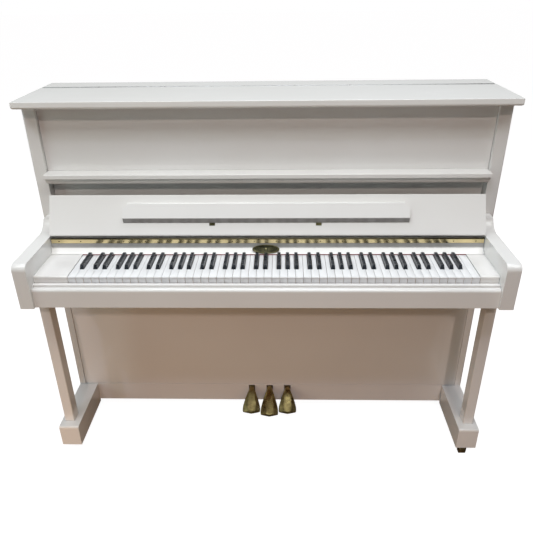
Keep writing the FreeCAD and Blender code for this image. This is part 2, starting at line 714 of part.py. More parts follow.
def pedals():
    """Straight arm on a pivot pin, sweeping down and out to a flared foot with an ogee front."""
    for name, k in (("left", -1), ("middle", 0), ("right", 1)):
        body = new_body("pedal_" + name)
        middle = "pedal_mid_x+pedal_pitch*%d" % k
        tip = "pedal_tip-mid_reach" if k == 0 else "pedal_tip"
        flare = tip + "+10"
        rear = "pedal_pivot_y+pedal_tail"
        half_plan = [
            ("pedal_neck", rear), ("pedal_neck", "28"), ("pedal_neck+2", "12"), ("pedal_neck+7", "0"),
            ("pedal_neck+13", "-14"), ("pedal_neck+19", "-28"), ("pedal_flare", flare), ("pedal_flare-1",
                tip)]
        left = [("%s-(%s)" % (middle, x), y) for x, y in half_plan]
        right = [("%s+%s" % (middle, x), y) for x, y in reversed(half_plan)]
        sk = sketch_on(body, "XY_Plane")
        outline(sk, left + [(middle, tip + "-6")] + right)
        pad(body, sk, "pedal_top+25")
        over = sketch_on(body, "YZ_Plane", middle + "-40")
        beyond = rear + "+6"
        outline(over, [
            ("tip_clear", "40"), (tip + "-7", "47"), (flare, "57"), ("-14", "88"), ("8", "103"), ("60",
                "pedal_top"),
            (beyond, "pedal_pivot_z+10"), (beyond, "pedal_top+30"), ("tip_clear", "pedal_top+30")])
        cut(body, over, "80", reverse=True)
        under = sketch_on(body, "YZ_Plane", middle + "-40")
        outline(under, [
            ("tip_clear", "-5"), (beyond, "-5"), (beyond, "pedal_pivot_z-8"), ("60", "87"),
            ("14", "87"), ("-14", "74"), (flare, "45"), (tip + "-7", "38"), ("tip_clear", "36")])
        cut(body, under, "80", reverse=True)
        rod(body, middle + "-cheek_at-cheek_half", middle + "+cheek_at+cheek_half", "pedal_pivot_y",
            "pedal_pivot_z", "pedal_pin_r")


def front_castor(name, side):
    """Round plate with two cheeks and a wheel off the swivel line, turned forward on the right foot."""
    x = "castor_x*%d" % side
    axle_y = "castor_y-castor_lead*%d" % side
    plate_low = "toe_base-play-castor_plate"
    fork = new_body("castor_fork_front_" + name)
    sk = sketch_on(fork, "XY_Plane", plate_low)
    circle(sk, x, "castor_y", "plate_r")
    pad(fork, sk, "castor_plate")
    for near, far in (("-castor_half-3.5", "-castor_half-0.5"), ("+castor_half+0.5", "+castor_half+3.5")):
        block(fork, x + near, x + far, axle_y + "-6", axle_y + "+6", "castor_r-4", plate_low)
    pin_hole(fork, x + "-castor_half-6", x + "+castor_half+6", axle_y, "castor_r", "axle_r+running")
    wheel = new_body("castor_wheel_front_" + name)
    rod(wheel, x + "-castor_half", x + "+castor_half", axle_y, "castor_r", "castor_r")
    rod(wheel, x + "-castor_half-4", x + "+castor_half+4", axle_y, "castor_r", "axle_r")


def rear_castors():
    for name, side in SIDES:
        x = "rear_castor_x*%d" % side
        wheel = new_body("castor_wheel_back_" + name)
        rod(wheel, x + "-11", x + "+11", "rear_castor_y", "rear_castor_r", "rear_castor_r")
        rod(wheel, x + "-17", x + "+17", "rear_castor_y", "rear_castor_r", "axle_r")
    bracket = new_body("castor_brackets_back")
    plate_low = "beam_low-play-5.7"
    for side in (-1, 1):
        x = "rear_castor_x*%d" % side
        block(bracket, x + "-30", x + "+30", "rear_castor_y-30", "rear_castor_y+30", plate_low,
              "beam_low-play")
        for near, far in (("-16", "-12"), ("+12", "+16")):
            block(bracket, x + near, x + far, "rear_castor_y-14", "rear_castor_y+14", "rear_castor_r-9",
                  plate_low)
    pin_hole(bracket, "-side_in", "side_in", "rear_castor_y", "rear_castor_r", "axle_r+running")


def castors():
    for name, side in SIDES:
        front_castor(name, side)
    rear_castors()


def main():
    for build in (side_panels, arms, key_blocks, key_bed, key_bed_fascia, key_slip, legs, toes, upper_panel,
                  music_shelf, recess_board, lower_panel, bottom_rail, bottom_board, nameboard,
                  nameboard_felt,
                  name_badge, fallboard_hinge, fallboard, fallboard_lip, music_desk, music_desk_hinges,
                  lid_rear,
                  lid_front, lid_hinge, back_frame, soundboard, iron_plate, tuning_pins, strings, key_frame,
                  white_keys, black_keys, action_frame, hammers, dampers, muffler_rail, pedals, castors):
        build()
    doc.recompute()
    for obj in doc.Objects:
        if "Invalid" in obj.State or "Error" in obj.State:
            raise ValueError("%s is %s" % (obj.Name, obj.State))
    for node in nodes:
        if node.Shape.isNull() or not node.Shape.isValid():
            raise ValueError("%s has no valid shape" % node.Label)
        node.Shape.exportStep("parts/%s.step" % node.Label)
        box = node.Shape.BoundBox
        print(node.Label, len(node.Shape.Solids), [round(v, 1) for v in (
            box.XMin, box.XMax, box.YMin, box.YMax, box.ZMin, box.ZMax)])


main()
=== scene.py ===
import json
import math

import bmesh
import bpy
from mathutils import Matrix, Vector


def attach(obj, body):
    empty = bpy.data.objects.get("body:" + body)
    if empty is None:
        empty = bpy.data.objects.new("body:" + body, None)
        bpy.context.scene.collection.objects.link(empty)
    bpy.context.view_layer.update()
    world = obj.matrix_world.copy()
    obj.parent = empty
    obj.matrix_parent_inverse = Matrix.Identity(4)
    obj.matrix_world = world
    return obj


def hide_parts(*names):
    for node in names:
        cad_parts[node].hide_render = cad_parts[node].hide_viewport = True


# Upright piano in gloss white. Metres, in the row frame: X right, -Y front, Z up.

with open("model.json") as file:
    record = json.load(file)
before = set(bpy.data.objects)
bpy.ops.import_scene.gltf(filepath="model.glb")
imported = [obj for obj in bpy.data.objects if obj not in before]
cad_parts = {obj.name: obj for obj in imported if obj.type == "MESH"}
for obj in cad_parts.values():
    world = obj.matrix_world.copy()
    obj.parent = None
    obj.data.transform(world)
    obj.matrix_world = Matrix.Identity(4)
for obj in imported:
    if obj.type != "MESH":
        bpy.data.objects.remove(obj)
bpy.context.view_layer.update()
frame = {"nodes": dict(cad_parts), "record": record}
NODES = frame["nodes"]
SLOT_OF = {s["node"]: s["material_slot"] for s in frame["record"]["subparts"]}


# ---------------------------------------------------------------- shader helpers


def new_material(name, color, rough=0.4, metal=0.0, coat=0.0, coat_rough=0.03, sheen=0.0):
    mat = bpy.data.materials.new(name)
    mat.use_nodes = True
    shader = mat.node_tree.nodes["Principled BSDF"]
    shader.inputs["Base Color"].default_value = (*color, 1)
    shader.inputs["Roughness"].default_value = rough
    shader.inputs["Metallic"].default_value = metal
    shader.inputs["Coat Weight"].default_value = coat
    shader.inputs["Coat Roughness"].default_value = coat_rough
    shader.inputs["Sheen Weight"].default_value = sheen
    return mat, mat.node_tree, shader


def node(tree, kind, **settings):
    made = tree.nodes.new(kind)
    for key, value in settings.items():
        setattr(made, key, value)
    return made


def place(tree, stretch=(1, 1, 1)):
    """Object coordinates in metres, stretched along the axes."""
    coords = node(tree, "ShaderNodeTexCoord")
    mapping = node(tree, "ShaderNodeMapping")
    mapping.inputs["Scale"].default_value = stretch
    tree.links.new(coords.outputs["Object"], mapping.inputs["Vector"])
    return mapping.outputs["Vector"]


def noise(tree, vector, scale, detail=3.0, rough=0.5):
    made = node(tree, "ShaderNodeTexNoise")
    made.inputs["Scale"].default_value = scale
    made.inputs["Detail"].default_value = detail
    made.inputs["Roughness"].default_value = rough
    tree.links.new(vector, made.inputs["Vector"])
    return made.outputs["Fac"]


def ramp(tree, factor, stops):
    """Colour or grey ramp: stops are (position, grey or colour)."""
    made = node(tree, "ShaderNodeValToRGB")
    bar = made.color_ramp
    while len(bar.elements) < len(stops):
        bar.elements.new(0.5)
    for element, (position, value) in zip(bar.elements, stops):
        element.position = position
        element.color = (*value, 1) if isinstance(value, tuple) else (value, value, value, 1)
    tree.links.new(factor, made.inputs["Fac"])
    return made.outputs["Color"]


def shifted(tree, value, amount):
    made = node(tree, "ShaderNodeMath", operation="ADD")
    tree.links.new(value, made.inputs[0])
    made.inputs[1].default_value = amount
    return made.outputs[0]


def mix(tree, factor, a, b, blend="MIX"):
    """Blend two colours; factor, a and b are sockets or plain values."""
    made = node(tree, "ShaderNodeMix", data_type="RGBA", blend_type=blend)
    for socket, value in ((made.inputs["Factor"], factor), (made.inputs[6], a), (made.inputs[7], b)):
        if isinstance(value, bpy.types.NodeSocket):
            tree.links.new(value, socket)
        else:
            socket.default_value = value if isinstance(value, float) else (*value, 1)
    return made.outputs[2]


def bump(tree, shader, height, strength, distance):
    """Raise the surface by a height map; distance is in metres."""
    made = node(tree, "ShaderNodeBump")
    made.inputs["Strength"].default_value = strength
    made.inputs["Distance"].default_value = distance
    tree.links.new(height, made.inputs["Height"])
    tree.links.new(made.outputs["Normal"], shader.inputs["Normal"])


# ---------------------------------------------------------------- materials


def white_lacquer():
    """Sprayed and polished white polyester: faint tone drift, hazy smears, orange peel."""
    mat, tree, shader = new_material("white_lacquer", (0.80, 0.795, 0.785), 0.09, coat=0.35)
    at = place(tree)
    tone = noise(tree, at, 2.2, 2.0)
    colour = ramp(tree, tone, [(0.3, (0.80, 0.79, 0.775)), (0.7, (0.835, 0.832, 0.825))])
    tree.links.new(colour, shader.inputs["Base Color"])
    smear = noise(tree, place(tree, (1.0, 1.0, 2.6)), 7.0, 6.0, 0.6)
    tree.links.new(ramp(tree, smear, [(0.35, 0.06), (0.75, 0.17)]), shader.inputs["Roughness"])
    peel = noise(tree, at, 260.0, 2.0)
    bump(tree, shader, peel, 0.025, 0.0006)
    return mat


SHADE_EDGE_SOFTNESS = 0.0006


def with_painted_shade(name, base, shade_colour, start, end, rough, metal=0.0, coat=0.0):
    """One finish with painted shade, a darker copy of it, between two heights; both drift a little in tone.
    """
    mat, tree, shader = new_material(name, base, rough, metal=metal, coat=coat)
    at = place(tree)
    split = node(tree, "ShaderNodeSeparateXYZ")
    tree.links.new(at, split.inputs[0])
    height = split.outputs["Z"]
    over = ramp(tree, height, [(start - SHADE_EDGE_SOFTNESS, 0.0), (start + SHADE_EDGE_SOFTNESS, 1.0)])
    under = ramp(tree, height, [(end - SHADE_EDGE_SOFTNESS, 1.0), (end + SHADE_EDGE_SOFTNESS, 0.0)])
    in_shade = mix(tree, 1.0, over, under, "MULTIPLY")
    tone = noise(tree, at, 2.2 if not metal else 30.0, 3.0)
    plain = ramp(tree, tone, [(0.3, tuple(0.97 * c for c in base)), (0.7, base)])
    # painted shade: a darker copy of the finish between the two heights
    dark = ramp(tree, tone, [(0.3, tuple(0.90 * c for c in shade_colour)), (0.7, shade_colour)])
    tree.links.new(mix(tree, in_shade, plain, dark), shader.inputs["Base Color"])
    smear = noise(tree, at, 9.0, 5.0, 0.6)
    tree.links.new(ramp(tree, smear, [(0.35, rough * 0.8), (0.7, rough * 1.6)]), shader.inputs["Roughness"])
    bump(tree, shader, noise(tree, at, 260.0, 2.0), 0.025, 0.0006)
    return mat


def plated_brass(name, bright, dull, rough, brushed):
    mat, tree, shader = new_material(name, bright, rough, metal=1.0)
    patina = noise(tree, place(tree), 38.0, 6.0, 0.62)
    tree.links.new(ramp(tree, patina, [(0.36, dull), (0.62, bright)]), shader.inputs["Base Color"])
    smear = noise(tree, place(tree), 16.0, 4.0)
    low, high = rough * 0.7, rough * 1.7
    tree.links.new(ramp(tree, smear, [(0.3, low), (0.75, high)]), shader.inputs["Roughness"])
    lines = noise(tree, place(tree, brushed), 160.0, 3.0)
    bump(tree, shader, lines, 0.06, 0.0004)
    return mat


def timber(name, pale, dark, stretch, rough=0.45, coat=0.0):
    """Straight-grained wood: stretch is small along the grain."""
    mat, tree, shader = new_material(name, pale, rough, coat=coat, coat_rough=0.2)
    at = place(tree, stretch)
    wander = noise(tree, at, 5.0, 4.0, 0.55)
    rings = node(tree, "ShaderNodeTexWave", wave_type="BANDS", bands_direction="DIAGONAL")
    rings.inputs["Scale"].default_value = 9.0
    rings.inputs["Distortion"].default_value = 5.0
    rings.inputs["Detail"].default_value = 3.0
    tree.links.new(at, rings.inputs["Vector"])
    fibre = noise(tree, at, 90.0, 4.0, 0.6)
    both = mix(tree, 0.45, rings.outputs["Fac"], wander)
    grain = mix(tree, 0.35, both, fibre)
    tree.links.new(ramp(tree, grain, [(0.25, dark), (0.7, pale)]), shader.inputs["Base Color"])
    tree.links.new(ramp(tree, fibre, [(0.3, rough * 0.8), (0.7, rough * 1.25)]), shader.inputs["Roughness"])
    bump(tree, shader, fibre, 0.25, 0.0006)
    return mat


def key_white():
    """Pale key covers: each key has its own faint tint, with finger marks and hairline scratches."""
    mat, tree, shader = new_material("white_key", (0.86, 0.87, 0.885), 0.16, coat=0.2)
    geometry = node(tree, "ShaderNodeNewGeometry")
    own = ramp(tree, geometry.outputs["Random Per Island"],
               [(0.0, (0.835, 0.845, 0.86)), (1.0, (0.88, 0.89, 0.905))])
    tree.links.new(own, shader.inputs["Base Color"])
    marks = noise(tree, place(tree), 42.0, 5.0, 0.6)
    tree.links.new(ramp(tree, marks, [(0.35, 0.11), (0.7, 0.26)]), shader.inputs["Roughness"])
    hair = noise(tree, place(tree, (90.0, 4.0, 4.0)), 12.0, 2.0)
    bump(tree, shader, hair, 0.03, 0.0003)
    return mat


def key_front():
    """Moulded face below the key lip, matter than the cover. Its tone carries painted light: lighter and
    bluer than the cover, to make up for the shade under the lip.
    """
    mat, tree, shader = new_material("key_front", (0.90, 0.92, 0.95), 0.4)
    grime = noise(tree, place(tree), 60.0, 4.0, 0.6)
    tree.links.new(ramp(tree, grime, [(0.3, (0.86, 0.88, 0.91)), (0.7, (0.93, 0.95, 0.98))]),
                   shader.inputs["Base Color"])
    bump(tree, shader, grime, 0.05, 0.0003)
    return mat


def key_black():
    mat, tree, shader = new_material("black_key", (0.016, 0.019, 0.024), 0.3, coat=0.15)
    worn = noise(tree, place(tree), 55.0, 5.0, 0.6)
    tree.links.new(ramp(tree, worn, [(0.3, (0.012, 0.015, 0.020)), (0.7, (0.026, 0.031, 0.039))]),
                   shader.inputs["Base Color"])
    tree.links.new(ramp(tree, worn, [(0.35, 0.22), (0.7, 0.38)]), shader.inputs["Roughness"])
    fine = noise(tree, place(tree, (1.0, 0.15, 1.0)), 700.0, 2.0)
    bump(tree, shader, fine, 0.08, 0.0003)
    return mat


def felt(name, pale, dark):
    mat, tree, shader = new_material(name, pale, 0.95, sheen=0.4)
    fuzz = noise(tree, place(tree), 320.0, 6.0, 0.7)
    tree.links.new(ramp(tree, fuzz, [(0.3, dark), (0.7, pale)]), shader.inputs["Base Color"])
    bump(tree, shader, fuzz, 0.5, 0.0008)
    return mat


def plate_paint():
    mat, tree, shader = new_material("gold_iron", (0.52, 0.38, 0.16), 0.42, metal=0.55)
    sand = noise(tree, place(tree), 420.0, 4.0, 0.65)
    broad = noise(tree, place(tree), 6.0, 4.0)
    tree.links.new(ramp(tree, broad, [(0.3, (0.42, 0.30, 0.12)), (0.75, (0.56, 0.41, 0.18))]),
                   shader.inputs["Base Color"])
    tree.links.new(ramp(tree, sand, [(0.3, 0.34), (0.7, 0.52)]), shader.inputs["Roughness"])
    bump(tree, shader, sand, 0.3, 0.0006)
    return mat


def steel():
    mat, tree, shader = new_material("steel", (0.58, 0.58, 0.60), 0.32, metal=1.0)
    stain = noise(tree, place(tree), 60.0, 5.0, 0.6)
    tree.links.new(ramp(tree, stain, [(0.3, (0.44, 0.43, 0.42)), (0.7, (0.62, 0.62, 0.64))]),
                   shader.inputs["Base Color"])
    tree.links.new(ramp(tree, stain, [(0.3, 0.26), (0.7, 0.42)]), shader.inputs["Roughness"])
    return mat


def wound_wire():
    """Copper-wound in the bass, plain steel above it."""
    mat, tree, shader = new_material("wires", (0.58, 0.58, 0.60), 0.3, metal=1.0)
    split = node(tree, "ShaderNodeSeparateXYZ")
    tree.links.new(place(tree), split.inputs[0])
    stain = noise(tree, place(tree), 60.0, 5.0, 0.6)
    plain = ramp(tree, stain, [(0.3, (0.44, 0.43, 0.42)), (0.7, (0.62, 0.62, 0.64))])
    copper = ramp(tree, stain, [(0.3, (0.45, 0.20, 0.10)), (0.7, (0.66, 0.32, 0.17))])
    treble = ramp(tree, shifted(tree, split.outputs["X"], 1.0), [(0.79, 0.0), (0.80, 1.0)])
    tree.links.new(mix(tree, treble, copper, plain), shader.inputs["Base Color"])
    winding = noise(tree, place(tree, (1.0, 1.0, 600.0)), 3.0, 1.0)
    bump(tree, shader, winding, 0.3, 0.0002)
    return mat


def cast_wheel():
    mat, tree, shader = new_material("cast_wheel", (0.10, 0.09, 0.08), 0.5, metal=0.8)
    scuff = noise(tree, place(tree), 90.0, 6.0, 0.65)
    tree.links.new(ramp(tree, scuff, [(0.35, (0.05, 0.045, 0.04)), (0.7, (0.17, 0.15, 0.13))]),
                   shader.inputs["Base Color"])
    tree.links.new(ramp(tree, scuff, [(0.3, 0.36), (0.7, 0.62)]), shader.inputs["Roughness"])
    bump(tree, shader, scuff, 0.2, 0.0005)
    return mat


OAK_PALE, OAK_DARK = (0.50, 0.34, 0.19), (0.30, 0.18, 0.085)
LACQUER, SHADED_LACQUER, DESK_SHADE = (0.835, 0.832, 0.825), (0.41, 0.41, 0.40), (0.30, 0.29, 0.28)
# heights where the painted shade bands start and end, in metres
NAMEBOARD_SHADE_HEIGHTS, CHAMFER_SHADE_HEIGHTS, KNUCKLE_SHADOW_HEIGHTS = (0.758, 0.80), (0.80, 0.8535), (0.7868, 0.80)

MATERIALS = {
    "white_lacquer": white_lacquer(),
    # nameboard: its upper strip carries painted shadow, where the fallboard and its hinge overhang it
    "nameboard_lacquer_painted_shade": with_painted_shade("nameboard_lacquer_painted_shade", LACQUER, SHADED_LACQUER, *NAMEBOARD_SHADE_HEIGHTS, 0.10, 0.0, 0.3),
    # music desk: its lower chamfer carries painted shade
    "desk_lacquer_painted_shade": with_painted_shade("desk_lacquer_painted_shade", LACQUER, DESK_SHADE, *CHAMFER_SHADE_HEIGHTS, 0.10, 0.0, 0.3),
    "frame_wood": timber("frame_wood", OAK_PALE, OAK_DARK, (12, 12, 1.1)),
    "beam_wood": timber("beam_wood", OAK_PALE, OAK_DARK, (1.1, 12, 12)),
    "key_wood": timber("key_wood", (0.66, 0.52, 0.34), (0.52, 0.38, 0.22), (14, 1.2, 14), 0.55),
    "spruce": timber("spruce", (0.66, 0.46, 0.24), (0.47, 0.29, 0.13), (22, 22, 1.4), 0.34, 0.3),
    "gold_iron": plate_paint(),
    "steel": steel(),
    "plate_string": wound_wire(),
    "brass": plated_brass("brass", (0.86, 0.70, 0.38), (0.72, 0.55, 0.27), 0.13, (0.08, 1.0, 1.0)),
    # fallboard hinge: the knuckle carries painted shadow of the gap under the fallboard
    "hinge_brass_painted_shadow": with_painted_shade("hinge_brass_painted_shadow", (0.84, 0.69, 0.38), (0.10, 0.085, 0.05), *KNUCKLE_SHADOW_HEIGHTS, 0.14, 1.0),
    "pedal_brass": plated_brass(
        "pedal_brass", (0.42, 0.34, 0.15), (0.17, 0.13, 0.06), 0.30, (1.0, 0.1, 1.0)),
    "dark_brass": plated_brass(
        "dark_brass", (0.30, 0.21, 0.10), (0.11, 0.075, 0.035), 0.36, (0.3, 1.0, 1.0)),
    "antique_brass": plated_brass(
        "antique_brass", (0.25, 0.225, 0.12), (0.075, 0.068, 0.035), 0.42, (0.4, 1.0, 1.0)),
    "badge_field": plated_brass(
        "badge_field", (0.09, 0.085, 0.05), (0.035, 0.033, 0.022), 0.5, (1.0, 1.0, 1.0)),
    "red_felt": felt("red_felt", (0.30, 0.035, 0.045), (0.14, 0.012, 0.02)),
    "grey_felt": felt("grey_felt", (0.60, 0.60, 0.58), (0.42, 0.42, 0.40)),
    "hammer_felt": felt("hammer_felt", (0.84, 0.80, 0.70), (0.66, 0.60, 0.50)),
    "cast_wheel": cast_wheel(),
    "white_key": key_white(),
    "key_front": key_front(),
    "black_key": key_black(),
}


# ---------------------------------------------------------------- carried-over nodes

EDGE_WIDTH = {
    "white_lacquer": 0.0012, "white_key": 0.0005, "black_key": 0.0009, "frame_wood": 0.002,
    "brass": 0.0004, "antique_brass": 0.0004, "gold_iron": 0.0015, "cast_wheel": 0.0006,
}
# thin parts take a smaller edge than their slot
FINE_PARTS = {
    "fallboard_hinge": 0.00025, "lid_hinge": 0.0002, "music_desk_hinges": 0.00025, "nameboard": 0.0006,
}
# nodes whose finish differs from the rest of their slot, or which carry painted shade
OWN_LOOK = {"strings": "plate_string", "nameboard": "nameboard_lacquer_painted_shade", "music_desk": "desk_lacquer_painted_shade",
            "fallboard_hinge": "hinge_brass_painted_shadow"}
for end in ("left", "right"):
    OWN_LOOK["castor_fork_front_" + end] = "dark_brass"
    OWN_LOOK["castor_wheel_front_" + end] = "dark_brass"
OWN_LOOK["castor_brackets_back"] = "dark_brass"
for board in ("key_bed", "bottom_board", "key_frame", "action_frame"):
    OWN_LOOK[board] = "beam_wood"


WELD_GAP, SHARP_ANGLE = 0.00001, math.radians(35)


def dress(name, obj):
    """Give a CAD node its finish and a softened edge."""
    slot = SLOT_OF[name]
    obj.data.materials.clear()
    obj.data.materials.append(MATERIALS[OWN_LOOK.get(name, slot)])
    width = FINE_PARTS.get(name, EDGE_WIDTH.get(slot))
    if width is None:
        return
    weld = obj.modifiers.new("weld", "WELD")
    weld.merge_threshold = WELD_GAP
    edge = obj.modifiers.new("edge", "BEVEL")
    edge.width = width
    edge.segments = 3
    edge.limit_method = "ANGLE"
    edge.angle_limit = SHARP_ANGLE
    edge.use_clamp_overlap = True
    edge.harden_normals = True


for name, obj in NODES.items():
    dress(name, obj)


# ---------------------------------------------------------------- modelled pieces


def link_piece(name, bm, materials, body, stands_for=(), edge=0.0, angle=35):
    """Turn a bmesh into a piece that rides on a body and stands for the CAD nodes named."""
    bmesh.ops.recalc_face_normals(bm, faces=bm.faces)
    mesh = bpy.data.meshes.new(name)
    bm.to_mesh(mesh)
    bm.free()
    for look in materials:
        mesh.materials.append(MATERIALS[look])
    mesh.shade_smooth()
    piece = bpy.data.objects.new(name, mesh)
    bpy.context.collection.objects.link(piece)
    if edge:
        rounded = piece.modifiers.new("edge", "BEVEL")
        rounded.width = edge
        rounded.segments = 3
        rounded.limit_method = "ANGLE"
        rounded.angle_limit = math.radians(angle)
        rounded.harden_normals = True
    else:
        mesh.set_sharp_from_angle(angle=math.radians(angle))
    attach(piece, body)
    if stands_for:
        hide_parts(*stands_for)
    return piece


def loft(bm, rings):
    """Skin closed rings of equal length and cap both ends."""
    loops = [[bm.verts.new(point) for point in ring] for ring in rings]
    size = len(loops[0])
    for one, two in zip(loops, loops[1:]):
        for i in range(size):
            j = (i + 1) % size
            bm.faces.new((one[i], one[j], two[j], two[i]))
    bm.faces.new(loops[0])
    bm.faces.new(reversed(loops[-1]))


def lathe(bm, start, along, profile, steps=24):
    """Closed turned solid: profile is (distance along the axis, radius)."""
    along = Vector(along).normalized()
    side = along.orthogonal().normalized()
    up = along.cross(side)
    rings = []
    for far, radius in profile:
        centre = Vector(start) + along * far
        turns = [math.tau * k / steps for k in range(steps)]
        rings.append([centre + (side * math.cos(a) + up * math.sin(a)) * radius for a in turns])
    loft(bm, rings)


PEDAL_PITCH, PEDAL_MIDDLE = 0.070, 0.0045
PEDAL_PIVOT_Y, PEDAL_PIVOT_Z = 0.130, 0.086
MIDDLE_REACH, FLARE_START, FLARE_RUN = 0.016, 0.012, 0.07
OGEE_DEPTH, OGEE_START, OGEE_RUN = 0.008, -0.034, 0.02
SHOULDER_DROP, SHOULDER_SHARE = 0.0095, 0.66
PEDAL_PIN_PROFILE = ((-0.0175, 0.0036), (-0.017, 0.004), (0.017, 0.004), (0.0175, 0.0036))
# along the arm from the tail: y, half width, top, underside, share of the width kept flat on top
PEDAL_STATIONS = [
    (0.144, 0.0090, 0.0955, 0.0780, 0.70), (0.130, 0.0097, 0.0970, 0.0775, 0.70),
    (0.060, 0.0098, 0.1045, 0.0870, 0.66), (0.028, 0.0098, 0.1042, 0.0880, 0.62),
    (0.012, 0.0115, 0.1030, 0.0868, 0.60), (0.000, 0.0165, 0.0965, 0.0805, 0.56),
    (-0.014, 0.0225, 0.0870, 0.0730, 0.50), (-0.028, 0.0285, 0.0750, 0.0620, 0.46),
    (-0.040, 0.0328, 0.0640, 0.0515, 0.44), (-0.048, 0.0340, 0.0560, 0.0445, 0.44),
    (-0.054, 0.0338, 0.0505, 0.0405, 0.46), (-0.058, 0.0322, 0.0470, 0.0385, 0.48),
]


def pedal_ring(middle, y, half, top, low, flat, ogee):
    """Cross-section with a raised flat facet between sloping shoulders."""
    shoulder = top - min(SHOULDER_DROP, (top - low) * SHOULDER_SHARE)
    points = []
    for side, share, z in (
            (-1, 1.0, low + 0.001), (-1, 1.0, shoulder), (-1, flat + 0.10, top - 0.0012), (-1, flat, top),
            (0, 0.0, top + 0.0006), (1, flat, top), (1, flat + 0.10, top - 0.0012), (1, 1.0, shoulder),
            (1, 1.0, low + 0.001), (1, 0.80, low), (0, 0.0, low - 0.0006), (-1, 0.80, low)):
        bow = ogee * (1 - abs(side) * share) ** 1.4
        points.append((middle + side * share * half, y - bow, z))
    return points


def clamp(value):
    return max(0.0, min(1.0, value))


def make_pedals():
    """Arms that sweep down and flare to a bell with an ogee front, each on its own pin."""
    for name, k in (("left", -1), ("middle", 0), ("right", 1)):
        middle = PEDAL_MIDDLE + PEDAL_PITCH * k
        reach = MIDDLE_REACH if k == 0 else 0.0
        rings = []
        for y, half, top, low, flat in PEDAL_STATIONS:
            front = clamp((FLARE_START - y) / FLARE_RUN)
            ogee = OGEE_DEPTH * clamp((OGEE_START - y) / OGEE_RUN)
            rings.append(pedal_ring(middle, y - reach * front, half, top, low, flat, ogee))
        bm = bmesh.new()
        loft(bm, rings)
        lathe(bm, (middle, PEDAL_PIVOT_Y, PEDAL_PIVOT_Z), (1, 0, 0), PEDAL_PIN_PROFILE)
        node_name = "pedal_" + name
        link_piece("cast_" + node_name, bm, ["pedal_brass"], node_name, [node_name], 0.0011, 24)


BADGE_HALF, BADGE_TALL = 0.0435, 0.0145
BADGE_AT, BADGE_LEAN, BADGE_STEPS = (0.0015, -0.1107, 0.756), 32, 72
# inset from the outer edge, height above the back
BADGE_PROFILE = [
    (0.0, 0.0), (0.0, 0.0017), (0.0006, 0.0024), (0.0016, 0.0028), (0.0027, 0.0024),
    (0.0032, 0.0016), (0.0040, 0.0015), (0.0044, 0.0019), (0.0049, 0.0015), (0.0056, 0.0014),
]
BOSS_PROFILE = [(0, 0.0040), (0.0009, 0.0038), (0.0014, 0.0024), (0.0016, 0.0006)]
FIELD_SHARE, FIELD_LEVEL = 0.84, -0.001
LEAVES, LEAF_FIRST, LEAF_PITCH, LEAF_REACH = 5, 0.0062, 0.0052, 0.0046
LEAF_SPREAD, LEAF_SHRINK, LEAF_CLIMB = 0.0030, 0.0003, 0.0008


def make_badge():
    """Oval plaque: rolled rim, sunk field, and a leaf spray on each side of a centre boss."""
    bm = bmesh.new()
    turns = [math.tau * k / BADGE_STEPS for k in range(BADGE_STEPS)]
    rings = []
    for inset, rise in BADGE_PROFILE:
        a, b = BADGE_HALF - inset, BADGE_TALL - inset
        rings.append([(a * math.cos(t), -rise, b * math.sin(t)) for t in turns])
    loft(bm, rings)
    for face in bm.faces:
        centre = face.calc_center_median()
        spread = math.hypot(centre.x / BADGE_HALF, centre.z / BADGE_TALL)
        face.material_index = 1 if spread < FIELD_SHARE and centre.y < FIELD_LEVEL else 0
    for side in (-1, 1):
        for k in range(LEAVES):
            at = side * (LEAF_FIRST + LEAF_PITCH * k)
            for way in (1, -1):
                leaf(bm, at, LEAF_CLIMB * k, side * LEAF_REACH, LEAF_SPREAD - LEAF_SHRINK * k, way)
    lathe(bm, (0, -0.0012, 0), (0, -1, 0), BOSS_PROFILE, 20)
    turn = Matrix.Translation(BADGE_AT) @ Matrix.Rotation(math.radians(-BADGE_LEAN), 4, "X")
    bmesh.ops.transform(bm, matrix=turn, verts=bm.verts)
    looks = ["antique_brass", "badge_field"]
    link_piece("oval_badge", bm, looks, "case", ["name_badge"], 0.0, 40)


def leaf(bm, x, z, reach, spread, way):
    """Small raised leaf springing outward and up or down from the stem."""
    base, ridge = -0.0013, -0.0023
    tip = (x + reach * 1.5, base, z + way * spread * 1.6)
    outline = [(x, base, z + way * 0.0004), (x + reach * 0.4, base, z + way * spread * 1.25), tip,
               (x + reach * 1.0, base, z + way * spread * 0.45)]
    low = [bm.verts.new(p) for p in outline]
    peak = bm.verts.new((x + reach * 0.72, ridge, z + way * spread * 0.85))
    for i in range(4):
        bm.faces.new((low[i], low[(i + 1) % 4], peak))
    bm.faces.new(reversed(low))


KEY_TOP, KEY_COVER, KEY_LIP, KEY_FRONT, KEY_SLACK = 0.7385, 0.0026, 0.0011, -0.273, 0.0001


